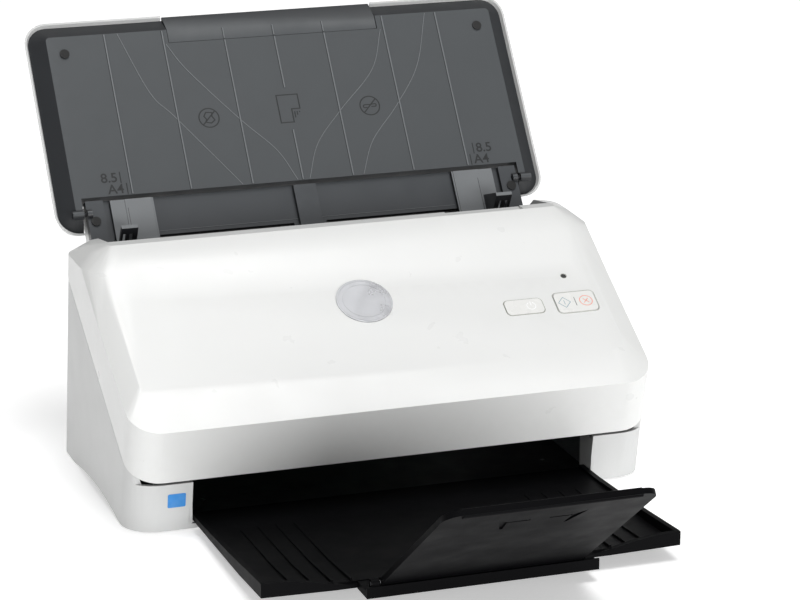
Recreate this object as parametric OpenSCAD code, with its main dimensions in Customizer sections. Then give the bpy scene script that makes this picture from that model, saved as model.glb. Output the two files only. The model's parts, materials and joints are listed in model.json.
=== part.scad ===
// Sheet fed document scanner: a tilted clamshell body with a folding input tray
// and a sliding output tray. +Z is up and -Y is the front.

/* [Body] */
// Width of the body
body_w = 300; // [296:1:304]
// Thickness of the white shells
wall = 2.4; // [2:0.1:2.8]
// Slope of the main face
face_tilt = 30.8; // [30.6:0.1:31]
// Length of the main face along its slope
face_len = 110.5; // [109:0.5:112]
// Half width of the main face
face_half = 139.5; // [138:0.5:141]
// Depth of the cover under the main face
cover_depth = 33; // [32.6:0.1:33.2]
// Radius of the front corners in plan
front_round = 18; // [16:1:20]
// Radius of the rear corners in plan
rear_round = 16; // [14:1:18]

/* [Input tray] */
// Slope of the open input tray
tray_tilt = 53.1; // [52.8:0.1:53.4]
// Half width of the input tray
tray_half = 148.6; // [146:0.2:149]
// Length of the tray above the chute
tray_len = 113.5; // [112:0.5:115]
// Thickness of the tray
tray_thick = 14; // [13.5:0.5:14]

/* [Guides] */
// Distance of each paper guide from the middle
guide_half = 107.9; // [105:0.1:108]
// Height of the guide tabs above the chute
tab_height = 20; // [18:1:20]

/* [Output tray] */
// Half width of the output tray
out_half = 114.5; // [112:0.5:114.5]
// How far the open output tray reaches in front of the body
out_reach = 129.5; // [120:0.5:130]
// Length of the output flap
flap_len = 119; // [110:1:119]
// Half width of the output flap
flap_half = 55; // [50:1:56]
// Slope of the opened output flap
flap_tilt = 36; // [30:1:45]

/* [Rollers] */
// Radius of the driven rollers
roller_r = 8.5; // [8.5:0.1:8.6]
// Number of teeth on each roller gear
gear_teeth = 24; // [24:1:24]

/* [Hidden] */

// Smoothness of holes, pins and rollers
round_fn = 48;
// Smoothness of the corners of hulls
corner_fn = 32;
// A very thin slice, used as one ring of a hull
slice = 0.02;
// Gap between parts that only lie next to each other
gap = 0.3;
// Radial clearance of a running pin or shaft
running = 0.05;
// Half width of the body
body_half = body_w / 2;
// Upper edge of the main face
face_top_y = 96.6;
face_top_z = 131.2;
// Lower edge of the input tray panel
panel_y = 160.4;
panel_z = 145.4;
// Front and rear foot lines of the body, and how far they lean for each mm of height
front_foot_y = -1.7;
front_lean = -0.2;
rear_foot_y = 157;
rear_lean = -0.174;
// Opening for the output tray
open_half = 115.4;
open_low = 3.7;
// Half width of the back between the rounded rear corners
back_half = 131.3;
// Underside of the body
under_z = 3;
// Axis of the cover hinge
hinge_y = -5.6;
hinge_z = 32;
hinge_pin_r = 0.9;
hinge_knuckle_r = 2;
// Paper path depth under the main face, and the guides above and below it
path_depth = 37.5;
deck_depth = 38.5;
inner_depth = 36.3;
// Driven shafts: distance down the slope, and their depth
pick_at = 14;
gear_pitch = gear_teeth;
feed_at = pick_at + 2 * gear_pitch;
exit_at = feed_at + 2 * gear_pitch;
shaft_depth = path_depth + roller_r;
shaft_r = 3;
// Chassis plates
plate_at = 117.5;
plate_t = 2.5;
// Rollers that press on the driven ones
pinch_r = 5;
pinch_depth = path_depth - 0.3 - pinch_r;
pinch_shaft_r = 1.5;
separation_depth = path_depth - 0.3 - roller_r;
// Scan bars, down the slope and across it
scan_at = 86;
scan_len = 16;
scan_half = 110;
// Rollers along their shafts: x centres and half widths
roller_x = [-78, -26, 26, 78];
roller_half = 9;
pick_x = [-14, 14];
pick_half = 8;
// Gears
gear_x = 123.6;
gear_w = 6;
pinion_teeth = 12;
pressure = 20;
half_tooth = 180 / gear_teeth;
idler_r = 2.5;
backlash = 0.16;
motor_r = 14;
motor_len = 38;
motor_axle_r = 1;
motor_depth = shaft_depth + (gear_teeth + pinion_teeth) / 2;
motor_at = pick_at + gear_pitch;
// Chute levels, measured from the plane of the tray panel
floor_t = -3;
floor_thick = 2.5;
slot_at = -26.3;
slot_half_w = 1.2;
bar_half = 6.8;
plate_inner = 91;
plate_outer = 116.5;
block_inner = 120.5;
block_outer = 131;
chute_low = -39.5;
// Guide racks and their pinion
rack_module = 1;
guide_teeth = 16;
guide_pitch_r = guide_teeth * rack_module / 2;
rack_top = -6.6;
rack_t = 2.4;
pinion_post_r = 2.5;
// Input tray hinge, in the frame of the tray
tray_axis_up = -10;
tray_pin_r = 1.2;
tray_ear_r = 2.6;
leg_low = -20.5;
leg_inner = 132.8;
// Sliding extension of the input tray: half widths, and where its grip starts
extension_half = 64.2;
extension_plate_half = 61;
extension_grip = 93.6;
// Input tray: taper and wall of the white shell, its rim, and the width of the dark bevel
shell_draft = 3.2;
shell_wall = 1.2;
shell_rim = -5.2;
tray_bevel = 11.6;
// Output tray levels
out_floor_z = 7.4;
out_rear_y = 4;
flap_axis_y = -139.5;
flap_axis_z = 13.4;
flap_pin_r = 1.3;
// Keys on the main face: centre, half sizes
power_x = 90;
power_half = 11.2;
scan_x = 121.1;
scan_half_w = 12;
keys_down = 71.5;
power_half_h = 5.4;
scan_half_h = 7.4;
key_gap = 0.35;
lamp_x = 120.5;
lamp_down = 51.1;
lamp_r = 1.5;
badge_r = 16;
badge_down = 55.5;
// Paper sensor lever under the deck
lever_x = 50;
lever_down = 38;
lever_depth = 46;
// Latch key on the top edge of the cover
latch_x = 90.3;
latch_half = 22.8;

// A point [y, z] measured down the main face and into the body
function face_point(down, depth) = [
  face_top_y - down * cos(face_tilt) + depth * sin(face_tilt),
  face_top_z - down * sin(face_tilt) - depth * cos(face_tilt)
];

// The frame of the main face: +Y up the slope, +Z out of the body
module on_face() {
  translate([0, face_top_y, face_top_z]) rotate([face_tilt, 0, 0]) children();
}

// The frame of the open input tray: +Y up the tray, +Z out of its panel
module on_tray() {
  translate([0, panel_y, panel_z]) rotate([tray_tilt, 0, 0]) children();
}

// Extrudes a [y, z] outline from x to x + width
module across(x, width) {
  translate([x, 0, 0]) rotate([90, 0, 90]) linear_extrude(width) children();
}

// A rod along X
module rod(x, length, r) {
  translate([x, 0, 0]) rotate([0, 90, 0]) cylinder(r = r, h = length, $fn = round_fn);
}

// A rod along X at a place [y, z]
module rod_at(place, x, length, r) {
  translate([0, place[0], place[1]]) rod(x, length, r);
}

// Both sides of a thing drawn on the right
module both_sides() {
  children();
  mirror([1, 0, 0]) children();
}

// A flat plate with round corners: x half, y from low to high
module round_plate(half, low, high, r, thick) {
  linear_extrude(thick) hull() {
    for (x = [r - half, half - r], y = [low + r, high - r]) {
      translate([x, y]) circle(r = r, $fn = corner_fn);
    }
  }
}

// A ring of the leaning body at one height
module body_ring(z, inset) {
  front = front_foot_y + front_lean * z + inset;
  rear = rear_foot_y + rear_lean * z - inset;
  side = body_half - inset;
  translate([0, 0, z]) linear_extrude(slice) hull() for (s = [-1, 1]) {
    translate([s * (side - front_round + inset), front + front_round - inset])
      circle(r = front_round - inset, $fn = corner_fn);
    translate([s * (side - rear_round + inset), rear - rear_round + inset])
      circle(r = rear_round - inset, $fn = corner_fn);
  }
}

// The whole leaning body, before the cover is parted from it
module body_form(low, high, inset) {
  hull() {
    body_ring(low, inset);
    body_ring(high, inset);
  }
}

// Everything above a plane parallel to the main face
module above_depth(depth) {
  on_face() translate([-200, -300, -depth]) cube([400, 400, 200]);
}

module base_shell() color("gainsboro") {
  parting = cover_depth + 0.4;
  difference() {
    body_form(0.8, 120, 0);
    body_form(-1, 121, wall);
    above_depth(parting);
    // lower lip for the turning edge of the cover
    translate([-160, -40, 29]) cube([320, 39, 60]);
    // opening for the output tray
    translate([-open_half, -30, open_low]) cube([2 * open_half, 50, 60]);
    // shallow arch under the sides
    translate([0, 72, 4.9 - 300]) rotate([0, 90, 0]) cylinder(r = 300, h = 400, center = true, $fn = 180);
    // place of the rear cover and the chute
    across(-back_half, 2 * back_half) polygon([[128, 5], [170, 5], [170, 140], [128, 140]]);
  }
  // inner cheek walls beside the opening
  both_sides() across(open_half, 1.6) polygon([[-4.2, 4.8], [-5.6, 26], [3, 28], [12, 28], [12, 4.8]]);
}

// Place of the leaning rear wall at one height
function rear_y(z, inset) = rear_foot_y + rear_lean * z - inset;

module rear_cover() color("whitesmoke") {
  difference() {
    across(0.3 - back_half, 2 * back_half - 0.6) polygon([
      [rear_y(5.3, 0), 5.3], [rear_y(103.7, 0), 103.7],
      [rear_y(103.7, wall), 103.7], [rear_y(5.3, wall), 5.3]
    ]);
    // ports
    translate([-96, 140, 16]) cube([14, 30, 13]);
    translate([-62, 160, 22]) rotate([90, 0, 0]) cylinder(r = 5.5, h = 30, $fn = round_fn);
    // ventilation slots
    for (k = [0:8]) translate([40 + 6 * k, 130, 60]) cube([2.4, 40, 24]);
  }
}

module chute_back() color("gainsboro") {
  on_tray() difference() {
    translate([-block_outer, -41, -13.6]) cube([2 * block_outer, 38, 7.9]);
    translate([-block_outer + wall, -44, -11.4]) cube([2 * (block_outer - wall), 42, 8]);
  }
}

module bottom_plate() color("dimgray") {
  difference() {
    translate([0, 0, under_z]) round_plate(body_half - wall - 1.2, 3.5, 152, 14, 1.6);
    both_sides() translate([open_half - 0.5, -10, 0]) cube([4, 23, 20]);
    for (x = [-100, 100], y = [30, 130]) translate([x, y, 0]) cylinder(r = 1.5, h = 9, $fn = round_fn);
  }
}

module rubber_feet() color("black") {
  for (s = [-1, 1], y = [22, 138]) {
    translate([s * 126, y, 0]) cylinder(r = 7, h = under_z, $fn = round_fn);
  }
}

// One chassis plate with its shaft bores and hinge lug
module side_plate() {
  low = face_point(121, 42);
  difference() {
    union() {
      across(plate_at, plate_t) polygon([
        [8, 5], [low[0], low[1] - 2], low, face_point(118, deck_depth + 0.5),
        face_point(-16, deck_depth + 0.5), face_point(-14, 50), [142, 5]
      ]);
      // lug that carries the cover hinge
      across(plate_at + plate_t, 3) polygon([
        [hinge_y + 0.3, hinge_z - 1.8], [hinge_y + 1.4, hinge_z + 1.6],
        [14, 26], [20, 26], [20, 12], [12, 12]
      ]);
      rod_at([hinge_y, hinge_z], plate_at + plate_t, 3, hinge_knuckle_r);
    }
    rod_at([hinge_y, hinge_z], 0, 200, hinge_pin_r + running);
    for (at = [pick_at, feed_at, exit_at]) {
      rod_at(face_point(at, shaft_depth), 0, 200, shaft_r + running);
    }
    children();
  }
}

module left_side_plate() color("slategray") {
  mirror([1, 0, 0]) side_plate();
}

module right_side_plate() color("slategray") {
  side_plate() rod_at(face_point(motor_at, motor_depth), 0, 200, 4);
  for (at = [pick_at + gear_pitch, feed_at + gear_pitch]) {
    rod_at(face_point(at, shaft_depth), plate_at + plate_t - 0.1, gear_w + 4.3, 2.5);
  }
}

module lower_guide() color([0.13, 0.14, 0.15]) {
  difference() {
    on_face() translate([-plate_at + 0.3, -126, -deck_depth - 2.2]) cube([2 * plate_at - 0.6, 152, 2.2]);
    for (x = pick_x) on_face() translate([x - pick_half - 1, -pick_at - 8, -60])
      cube([2 * pick_half + 2, 16, 40]);
    for (at = [feed_at, exit_at], x = roller_x) {
      on_face() translate([x - roller_half - 1, -at - 8, -60]) cube([2 * roller_half + 2, 16, 40]);
    }
    on_face() translate([-scan_half - 0.3, -scan_at - scan_len / 2 - 0.3, -60])
      cube([2 * scan_half + 0.6, scan_len + 0.6, 40]);
    on_face() translate([lever_x - 3, -42, -60]) cube([6, 16, 40]);
  }
  // ears of the sensor lever
  for (s = [-1, 1]) on_face() difference() {
    translate([lever_x + s * 4 - 0.8, -41, -49]) cube([1.6, 6, 9]);
    translate([0, -lever_down, -lever_depth]) rod(0, 100, 1 + running);
  }
}

module sensor_lever() color("black") on_face() translate([0, -lever_down, -lever_depth]) {
  rod(lever_x - 5.5, 11, 1);
  across(lever_x - 1, 2) polygon([[-0.5, 0.5], [0.5, -0.5], [9, 7.5], [7.5, 9]]);
  across(lever_x - 1, 2) polygon([[0.6, -0.4], [-0.4, 0.6], [-7.5, -6], [-6, -7.5]]);
}

module paper_chute() color([0.24, 0.25, 0.27]) {
  floor_low = floor_t - floor_thick;
  on_tray() difference() {
    union() {
      // recessed floor
      translate([-block_outer, chute_low, floor_low]) cube([2 * block_outer, -1.5 - chute_low, floor_thick]);
      // centre bar
      translate([-bar_half, chute_low, floor_low]) cube([2 * bar_half, -2.6 - chute_low, -floor_low]);
      both_sides() {
        // side block with the hinge ear at its outer end
        translate([block_inner, chute_low, floor_low])
          cube([block_outer - block_inner, -2 - chute_low, -floor_low]);
        translate([0, tray_axis_up, 0]) rod(block_outer - 3, 3, tray_ear_r);
      }
      translate([0, slot_at, rack_top - rack_t]) cylinder(r = pinion_post_r, h = 3, $fn = round_fn);
      translate([0, slot_at, floor_low - 1]) cylinder(r = 4, h = 1.2, $fn = round_fn);
    }
    // long slots for the guides
    both_sides() translate([9.8, slot_at - slot_half_w, -20]) cube([107, 2 * slot_half_w, 30]);
    both_sides() translate([0, tray_axis_up, 0]) rod(block_outer - 3.5, 10, tray_pin_r + running);
    both_sides() translate([126.5, -14.8, -1.5]) cylinder(r = 2.8, h = 5, $fn = round_fn);
  }
}

module chute_bumpers() color("black") {
  on_tray() both_sides() translate([126.5, -14.8, -1.5]) cylinder(r = 2.8, h = 2.3, $fn = round_fn);
}

// A rack along X: straight teeth that point to +Y from the pitch line at y = 0
module rack_bar(from, to, phase) {
  pitch = PI * rack_module;
  first = ceil((from - phase) / pitch) + 1;
  last = floor((to - phase) / pitch) - 1;
  linear_extrude(rack_t) union() {
    translate([from, -4]) square([to - from, 4 - 1.3 * rack_module]);
    for (k = [first:last]) translate([phase + k * pitch, 0]) polygon([
      [-1.22, -1.35], [-0.38, 0.85], [0.38, 0.85], [1.22, -1.35]
    ]);
  }
}

// Sheet and upright tab of the right guide
module guide_body() {
  sheet_len = -3 - chute_low;
  difference() {
    union() {
      translate([plate_inner, chute_low + 0.5, floor_t + gap])
        cube([plate_outer - plate_inner, sheet_len, -floor_t - gap - 0.3]);
      translate([plate_inner + 1, chute_low + 0.5, -0.4])
        cube([guide_half - plate_inner - 1, sheet_len, 0.4]);
      across(guide_half, 2.2) polygon([
        [-38, -0.4], [-28.4, tab_height], [-26.3, tab_height], [-19, -0.4]
      ]);
      across(guide_half, 9.8) polygon([
        [-37.5, -0.4], [-28.4, tab_height], [-26.3, tab_height], [-35, -0.4]
      ]);
      translate([98, slot_at - slot_half_w + gap, rack_top - rack_t])
        cube([8, 2 * (slot_half_w - gap), 7]);
    }
    // two upright windows in the tab
    for (x = [2.9, 6.5]) translate([guide_half + x, -60, 3]) cube([1.9, 60, 13]);
  }
}

// Arm and rack that join the stem of a guide to the pinion
module guide_rack(phase) {
  translate([98, -guide_pitch_r - 4, 0]) cube([8, guide_pitch_r + 4, rack_t]);
  translate([0, -guide_pitch_r, 0]) rack_bar(-12, 99, phase);
}

module right_guide() color([0.27, 0.28, 0.3]) on_tray() {
  guide_body();
  translate([0, slot_at, rack_top - rack_t]) guide_rack(rack_module * PI / 2);
}

module left_guide() color([0.27, 0.28, 0.3]) on_tray() {
  mirror([1, 0, 0]) guide_body();
  translate([0, slot_at, rack_top - rack_t]) rotate([0, 0, 180]) guide_rack(rack_module * PI / 2);
}

// Involute half tooth angle at a radius
function involute(angle) = tan(angle) * 180 / PI - angle;
function tooth_half(teeth, m, radius) =
  let (pitch_r = teeth * m / 2, base_r = pitch_r * cos(pressure))
  90 / teeth + involute(pressure)
  - involute(acos(min(1, base_r / max(radius, base_r))))
  - backlash / 2 / pitch_r * 180 / PI;
function on_circle(radius, angle) = [radius * cos(angle), radius * sin(angle)];
function gear_outline(teeth, m) =
  let (root = teeth * m / 2 - 1.25 * m, tip = teeth * m / 2 + 0.95 * m,
    radii = [for (k = [0:4]) max(root + 0.3, teeth * m / 2 * cos(pressure)) * (1 - k / 4) + tip * k / 4])
  [for (t = [0:teeth - 1]) each concat(
    [on_circle(root, t * 360 / teeth - tooth_half(teeth, m, 0) * 1.02)],
    [for (r = radii) on_circle(r, t * 360 / teeth - tooth_half(teeth, m, r))],
    [for (k = [4:-1:0]) on_circle(radii[k], t * 360 / teeth + tooth_half(teeth, m, radii[k]))],
    [on_circle(root, t * 360 / teeth + tooth_half(teeth, m, 0) * 1.02)]
  )];

module gear(teeth, m, width, bore) {
  linear_extrude(width) difference() {
    polygon(gear_outline(teeth, m));
    circle(r = bore, $fn = round_fn);
  }
}

module guide_pinion() color("ivory") {
  on_tray() translate([0, slot_at, rack_top - rack_t + 0.1])
    gear(guide_teeth, rack_module, rack_t - 0.3, pinion_post_r + running);
}

// A driven shaft with room for its gear
module driven_shaft(at) {
  rod_at(face_point(at, shaft_depth), -plate_at - plate_t - 2, 2 * plate_at + 2 * plate_t + 12, shaft_r);
}

module driven_rollers(at, places, half) {
  for (x = places) difference() {
    rod_at(face_point(at, shaft_depth), x - half, 2 * half, roller_r);
    rod_at(face_point(at, shaft_depth), x - half - 1, 2 * half + 2, shaft_r);
  }
}

// A gear on the right side at a place [down, depth], turned by a phase
module side_gear(at, depth, teeth, bore, phase) {
  place = face_point(at, depth);
  translate([gear_x, place[0], place[1]]) rotate([face_tilt, 0, 0]) rotate([90, 0, 90])
    rotate([0, 0, phase]) gear(teeth, 1, gear_w, bore);
}

module pick_shaft() color("silver") driven_shaft(pick_at);
module feed_shaft() color("silver") driven_shaft(feed_at);
module exit_shaft() color("silver") driven_shaft(exit_at);
module pick_rollers() color("dimgray") driven_rollers(pick_at, pick_x, pick_half);
module feed_rollers() color("dimgray") driven_rollers(feed_at, roller_x, roller_half);
module exit_rollers() color("dimgray") driven_rollers(exit_at, roller_x, roller_half);

module pick_gear() color("ivory") side_gear(pick_at, shaft_depth, gear_teeth, shaft_r, 0);
module feed_gear() color("ivory") side_gear(feed_at, shaft_depth, gear_teeth, shaft_r, 0);
module exit_gear() color("ivory") side_gear(exit_at, shaft_depth, gear_teeth, shaft_r, 0);
module upper_idler_gear() color("ivory") {
  side_gear(pick_at + gear_pitch, shaft_depth, gear_teeth, idler_r + running, half_tooth);
}
module lower_idler_gear() color("ivory") {
  side_gear(feed_at + gear_pitch, shaft_depth, gear_teeth, idler_r + running, half_tooth);
}

module motor() color("lightsteelblue") {
  place = face_point(motor_at, motor_depth);
  rod_at(place, plate_at - motor_len - 0.1, motor_len, motor_r);
  rod_at(place, plate_at - 1, 2.5, 3.5);
}
module motor_pinion() color("goldenrod") {
  side_gear(motor_at, motor_depth, pinion_teeth, motor_axle_r, 90);
  rod_at(face_point(motor_at, motor_depth), plate_at + 2, 11, motor_axle_r);
}

// A scan bar: a long housing with a place for its glass
module lower_scan_bar() color([0.1, 0.1, 0.11]) {
  on_face() difference() {
    translate([-scan_half, -scan_at - scan_len / 2, -deck_depth - 12]) cube([2 * scan_half, scan_len, 12]);
    translate([-scan_half + 2, -scan_at - 5, -deck_depth - 1.6]) cube([2 * scan_half - 4, 10, 3]);
  }
}
module lower_scan_glass() color([0.6, 0.8, 0.85]) {
  on_face() translate([-scan_half + 2.1, -scan_at - 4.9, -deck_depth - 1.6])
    cube([2 * scan_half - 4.2, 9.8, 1.6]);
}
module upper_scan_bar() color([0.1, 0.1, 0.11]) {
  on_face() difference() {
    translate([-scan_half, -scan_at - scan_len / 2, -inner_depth]) cube([2 * scan_half, scan_len, 12]);
    translate([-scan_half + 2, -scan_at - 5, -inner_depth - 2]) cube([2 * scan_half - 4, 10, 3.6]);
  }
}
module upper_scan_glass() color([0.6, 0.8, 0.85]) {
  on_face() translate([-scan_half + 2.1, -scan_at - 4.9, -inner_depth]) cube([2 * scan_half - 4.2, 9.8, 1.6]);
}

// Outer form of the cover; inset makes the form of its inside
module cover_form(inset) {
  low = cover_depth + (inset > 0 ? 2 : 0);
  half = body_half - inset;
  on_face() hull() {
    translate([0, 0, -inset]) round_plate(face_half - inset, inset - face_len, 0, 11, slice);
    translate([0, 0, -6 - inset]) rotate([-1.3, 0, 0])
      round_plate(half, inset - 132.3, -2, front_round - inset, slice);
    translate([0, 0, -low]) round_plate(half, inset - 141.4, 20, front_round - inset, slice);
  }
}

// The part of the cover around and behind its top edge
module cover_rear_form(inset) {
  half = body_half - inset;
  hull() {
    on_face() translate([0, 0, -inset]) round_plate(face_half - inset, -40, 0, 11, slice);
    on_face() translate([0, 0, -6 - inset]) rotate([-1.3, 0, 0]) round_plate(half, -60, -2, 9, slice);
    on_face() translate([0, 0, -cover_depth - (inset > 0 ? 2 : 0)])
      round_plate(half, -60, 27.5 - inset, rear_round - inset, slice);
    translate([0, 0, 124 - inset]) round_plate(half, 80, 136.2 - inset, rear_round - inset, slice);
    translate([0, 0, 130.3 - inset]) round_plate(half - 8, 90, 128 - inset, 14, slice);
    translate([0, 0, 134 - inset]) round_plate(half - 17, 97, 105.5, 3, slice);
  }
}

module front_cover() color("white") {
  key_r = 3;
  difference() {
    union() {
      cover_form(0);
      cover_rear_form(0);
    }
    // inside, with a wall left along the notch for the chute
    difference() {
      union() {
        cover_form(wall);
        cover_rear_form(wall);
      }
      translate([-back_half - wall, 105 - wall, 60]) cube([2 * (back_half + wall), 80, 100]);
    }
    translate([-back_half, 105, 60]) cube([2 * back_half, 80, 100]);
    // window behind the separation roller
    translate([-26, 95, 80]) cube([52, 20, 32]);
    // bottom plane of the cover
    on_face() translate([-200, -200, -cover_depth - 60]) cube([400, 300, 60]);
    // windows of the keys and the lamp
    on_face() translate([power_x, -keys_down, -5])
      round_plate(power_half + key_gap, -power_half_h - key_gap, power_half_h + key_gap, key_r, 9);
    on_face() translate([scan_x, -keys_down, -5])
      round_plate(scan_half_w + key_gap, -scan_half_h - key_gap, scan_half_h + key_gap, key_r, 9);
    on_face() translate([lamp_x, -lamp_down, -5]) cylinder(r = lamp_r + 0.1, h = 9, $fn = corner_fn);
    // place of the latch key in the top edge
    translate([latch_x - latch_half - gap, 97.5, 126.8]) cube([2 * (latch_half + gap), 20, 20]);
    // pockets of the hinge knuckles
    both_sides() rod_at([hinge_y, hinge_z], plate_at + plate_t - 0.4, 8, hinge_knuckle_r + 0.5);
  }
}

module cover_inner_frame() color([0.15, 0.16, 0.17]) {
  frame_half = 116.4;
  rear = 12;
  front = 131;
  difference() {
    union() {
      on_face() translate([-frame_half, -front, -inner_depth]) cube([2 * frame_half, front - rear, 2.2]);
      // side ribs that hold the shafts
      both_sides() on_face() translate([frame_half - 2.2, -120, -inner_depth]) cube([2.2, 120 - rear, 22]);
      // hinge arms and knuckles
      both_sides() {
        across(frame_half - 1, 6.9 + plate_at - frame_half) polygon([
          face_point(121, inner_depth), face_point(131, inner_depth),
          face_point(131, 33.4), face_point(121, 33.4)
        ]);
        across(plate_at + 5.9, 2.6) polygon([
          face_point(121, inner_depth), face_point(132, inner_depth), [hinge_y + 0.9, hinge_z - 1.7],
          [hinge_y - 1, hinge_z + 1.7], face_point(121, 31)
        ]);
        rod_at([hinge_y, hinge_z], plate_at + 5.9, 2.6, hinge_knuckle_r);
      }
      // cradles of the separation shaft
      for (s = [-1, 1]) on_face() translate([s * 22 - 1.5, -26, -inner_depth]) cube([3, 18, 24]);
    }
    rod_at([hinge_y, hinge_z], -150, 300, hinge_pin_r);
    on_face() translate([-20, -26, -50]) cube([40, 30, 49]);
    for (at = [feed_at, exit_at], x = roller_x) {
      on_face() translate([x - roller_half - 1, -at - 6, -60]) cube([2 * roller_half + 2, 12, 40]);
    }
    for (at = [feed_at, exit_at]) rod_at(face_point(at, pinch_depth), -150, 300, pinch_shaft_r + running);
    rod_at(face_point(pick_at, separation_depth), -24, 48, 2 + running);
    on_face() translate([-scan_half - 0.3, -scan_at - scan_len / 2 - 0.3, -60])
      cube([2 * scan_half + 0.6, scan_len + 0.6, 50]);
  }
}

module separation_shaft() color("silver") {
  rod_at(face_point(pick_at, separation_depth), -23.4, 46.8, 2);
}
module separation_roller() color([0.2, 0.2, 0.22]) {
  for (x = pick_x) difference() {
    rod_at(face_point(pick_at, separation_depth), x - 4.5, 9, roller_r);
    rod_at(face_point(pick_at, separation_depth), x - 6, 12, 2 + running);
  }
}

// A row of small rollers on one thin shaft
module pinch_rollers(at) {
  place = face_point(at, pinch_depth);
  rod_at(place, -116, 232, pinch_shaft_r);
  for (x = roller_x) rod_at(place, x - roller_half, 2 * roller_half, pinch_r);
}
module feed_pinch_rollers() color("gray") pinch_rollers(feed_at);
module exit_pinch_rollers() color("gray") pinch_rollers(exit_at);

module cover_hinge_pins() color("silver") {
  both_sides() rod_at([hinge_y, hinge_z], plate_at + plate_t - 0.3, 7.6, hinge_pin_r);
}

module cover_latch() color("white") {
  // key that follows the top edge, with its stem and hook
  across(latch_x - latch_half, 2 * latch_half) polygon([
    [98.2, 131.4], [105, 133.5], [105, 129.2], [98.2, 129.2]
  ]);
  translate([latch_x - 3, 98.4, 104]) cube([6, 3, 26]);
  translate([latch_x - 3, 98.4, 104]) cube([6, 3.9, 2.4]);
}

module latch_spring() color("silver") {
  // coil of round wire around a vertical line beside the stem
  turns = 6;
  for (k = [0:turns - 1]) translate([latch_x + 12, 99.5, 106 + 3 * k])
    rotate_extrude($fn = round_fn) translate([2.4, 0]) circle(r = 0.35, $fn = 16);
  translate([latch_x + 12 + 2.4 - 0.3, 99.3, 105.8]) cube([0.6, 0.4, 3 * turns - 2.6]);
}

// A key cap with a collar below the face
module key_cap(half, half_h) {
  translate([0, 0, -4]) round_plate(half, -half_h, half_h, 2.7, 4.35);
  translate([0, 0, -4.6]) round_plate(half + 1.2, -half_h - 1.2, half_h + 1.2, 3, 1);
}
module power_key() color("whitesmoke") on_face() translate([power_x, -keys_down, 0]) {
  key_cap(power_half, power_half_h);
}
module scan_cancel_key() color("whitesmoke") on_face() translate([scan_x, -keys_down, 0]) difference() {
  union() {
    key_cap(scan_half_w, scan_half_h);
    translate([-2, -scan_half_h, -8]) cube([4, 2 * scan_half_h, 4]);
  }
  translate([0, 30, -6.4]) rotate([90, 0, 0]) cylinder(r = 0.9 + running, h = 60, $fn = round_fn);
}
module key_pivot() color("silver") on_face() translate([scan_x, -keys_down, 0]) {
  translate([0, scan_half_h + 2, -6.4]) rotate([90, 0, 0])
    cylinder(r = 0.9, h = 2 * scan_half_h + 4, $fn = round_fn);
}
module status_lamp() color("dimgray") on_face() translate([lamp_x, -lamp_down, -4]) {
  cylinder(r = lamp_r, h = 3.9, $fn = round_fn);
}
module key_board() color("seagreen") on_face() {
  translate([74, -84, -12.4]) cube([70, 40, 1.6]);
  // switches
  translate([power_x - 3, -keys_down - 3, -10.8]) cube([6, 6, 4.4]);
  for (s = [-1, 1]) translate([scan_x + s * 7 - 2.5, -keys_down - 2.5, -10.8]) cube([5, 5, 3.8]);
  translate([lamp_x - 1.5, -lamp_down - 1.5, -10.8]) cube([3, 3, 6.7]);
  // pivot rests
  for (y = [scan_half_h + 0.4, -scan_half_h - 1.9]) difference() {
    translate([scan_x - 2, y - keys_down, -10.8]) cube([4, 1.5, 6]);
    translate([scan_x, 30 - keys_down, -6.4]) rotate([90, 0, 0])
      cylinder(r = 0.9 + running, h = 60, $fn = round_fn);
  }
}
module round_badge() color("silver") on_face() {
  translate([0, -badge_down, 0.02]) cylinder(r = badge_r, h = 0.5, $fn = 96);
}

// Outline of the tray: a wide sheet with a leg at each lower corner
module tray_outline(inset, thick) {
  round_plate(tray_half - inset, leg_low + inset, tray_len - inset, 14 - inset, thick);
}

// The space between the legs
module between_legs() {
  translate([-leg_inner, -40, -30]) cube([2 * leg_inner, 40, 60]);
}

module input_tray_shell() color("white") on_tray() difference() {
  hull() {
    translate([0, 0, -tray_thick]) tray_outline(shell_draft, slice);
    translate([0, 0, shell_rim - slice]) tray_outline(0, slice);
  }
  hull() {
    translate([0, 0, 2 - tray_thick]) tray_outline(shell_draft + shell_wall, slice);
    translate([0, 0, shell_rim]) tray_outline(shell_wall, slice);
  }
  between_legs();
  // notch for the tray extension
  translate([-extension_half - 1, tray_len - 12, -9]) cube([2 * extension_half + 2, 30, 20]);
}

module input_tray_panel() color([0.33, 0.34, 0.36]) on_tray() difference() {
  union() {
    hull() {
      translate([0, 0, 2.3 - tray_thick]) tray_outline(shell_draft + shell_wall + 0.6, slice);
      translate([0, 0, -7.5]) tray_outline(shell_wall + 1.1, slice);
      translate([0, 0, -slice]) tray_outline(tray_bevel, slice);
    }
    // bosses over the hinge pins
    both_sides() translate([0, tray_axis_up, 0]) rod(leg_inner + 0.2, 6.5, tray_ear_r);
  }
  // inside, left solid in the legs
  translate([0, 0, -20]) round_plate(tray_half - 14, 3, tray_len - 12, 5, 17.6);
  between_legs();
  // place of the tray extension
  translate([-extension_half - 0.3, extension_grip - 0.3, -9]) cube([2 * extension_half + 0.6, 40, 20]);
  both_sides() {
    translate([0, tray_axis_up, 0]) rod(leg_inner - 1, 8, tray_pin_r);
    translate([127.4, 90.7, -1.5]) cylinder(r = 2.8, h = 5, $fn = round_fn);
    // room around the ear of the chute
    translate([0, tray_axis_up, 0]) rod(leg_inner - 3, 3.2, tray_ear_r + 0.4);
  }
}

module tray_bumpers() color("black") on_tray() {
  both_sides() translate([127.4, 90.7, -1.5]) cylinder(r = 2.8, h = 2.4, $fn = round_fn);
}

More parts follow.
